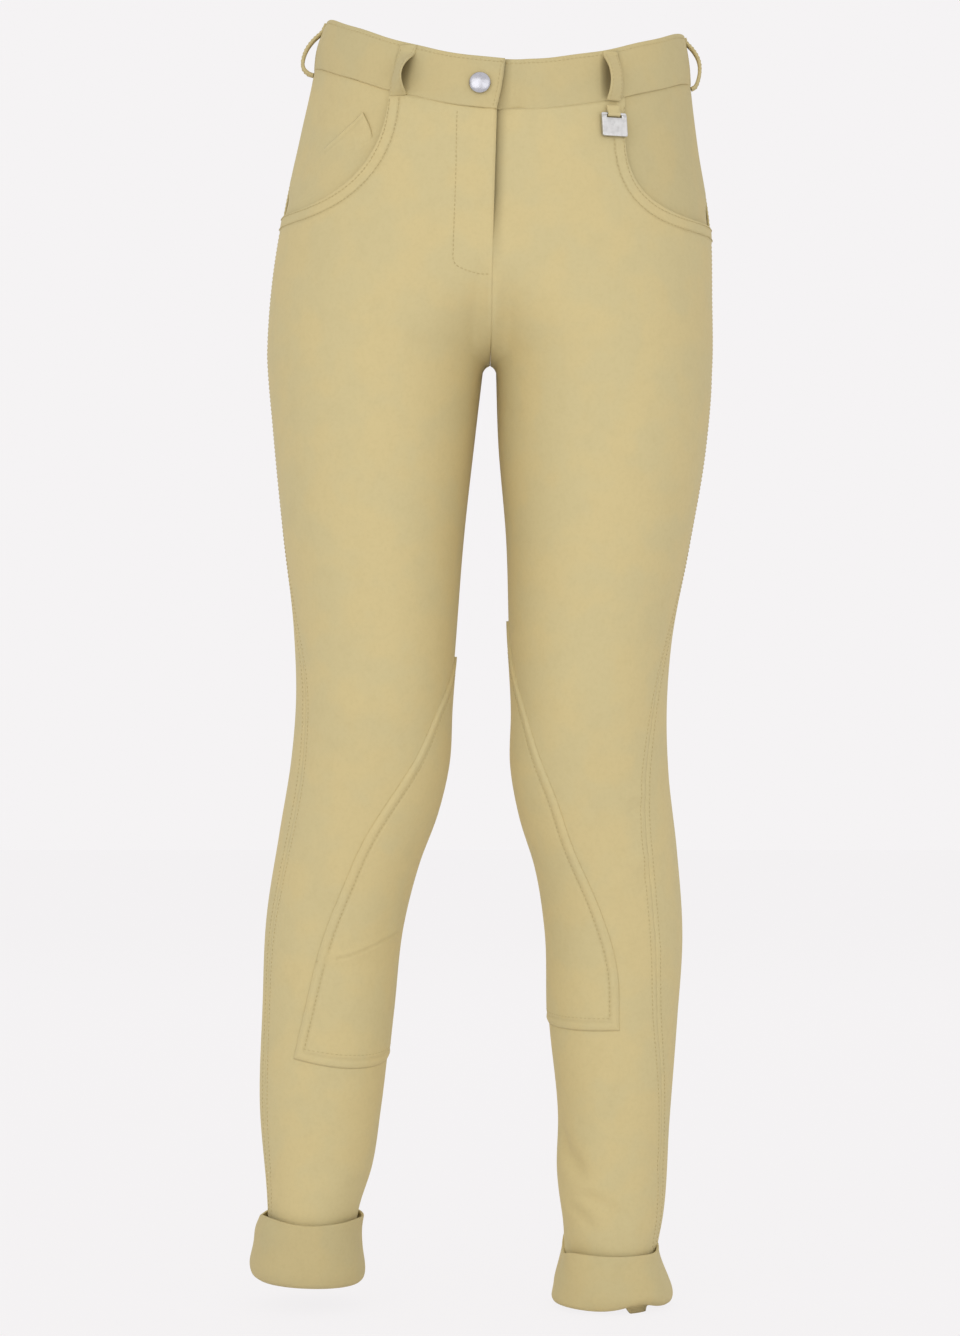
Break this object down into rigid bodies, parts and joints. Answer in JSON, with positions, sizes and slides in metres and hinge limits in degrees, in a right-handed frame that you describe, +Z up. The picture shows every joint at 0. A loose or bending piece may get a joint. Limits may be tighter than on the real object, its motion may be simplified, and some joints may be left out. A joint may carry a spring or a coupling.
{
  "type": "jodhpurs",
  "caption": "Sand-coloured stretch-cotton jodhpurs with a buttoned waistband, belt loops, scooped pockets, knee patches, turned-up cuffs and a small metal tag.",
  "frame": {"origin": "middle of the waist opening, level with the top edge of the waistband at the centre front", "axes": "+Z up along the standing legs, -Y out of the front, +X towards the wearer's left"},
  "size_m": [0.3693, 0.2404, 1.0261],
  "materials": {
    "cotton": "matte brushed stretch cotton, sand coloured",
    "metal": "soft silver"
  },
  "bodies": {
    "garment": {"front_right": "cotton", "front_left": "cotton", "back_right": "cotton", "back_left": "cotton", "waistband": "cotton", "fly_shield": "cotton", "pocket_facing_right": "cotton", "pocket_facing_left": "cotton", "ticket_pocket": "cotton", "belt_loop_front_right": "cotton", "belt_loop_front_left": "cotton", "belt_loop_side_right": "cotton", "belt_loop_side_left": "cotton", "belt_loop_back": "cotton", "knee_patch_right": "cotton", "knee_patch_left": "cotton", "cuff_right": "cotton", "cuff_left": "cotton", "tag_loop": "cotton", "waist_button": "metal"},
    "tag": {"metal_tag": "metal"}
  },
  "joints": [
    {"name": "tag_swing", "type": "hinge", "parent": "garment", "child": "tag", "pos_m": [0.08346, -0.09265, -0.05294], "axis": [-0.9289, -0.3704, 0], "range_deg": [0, 80]}
  ]
}
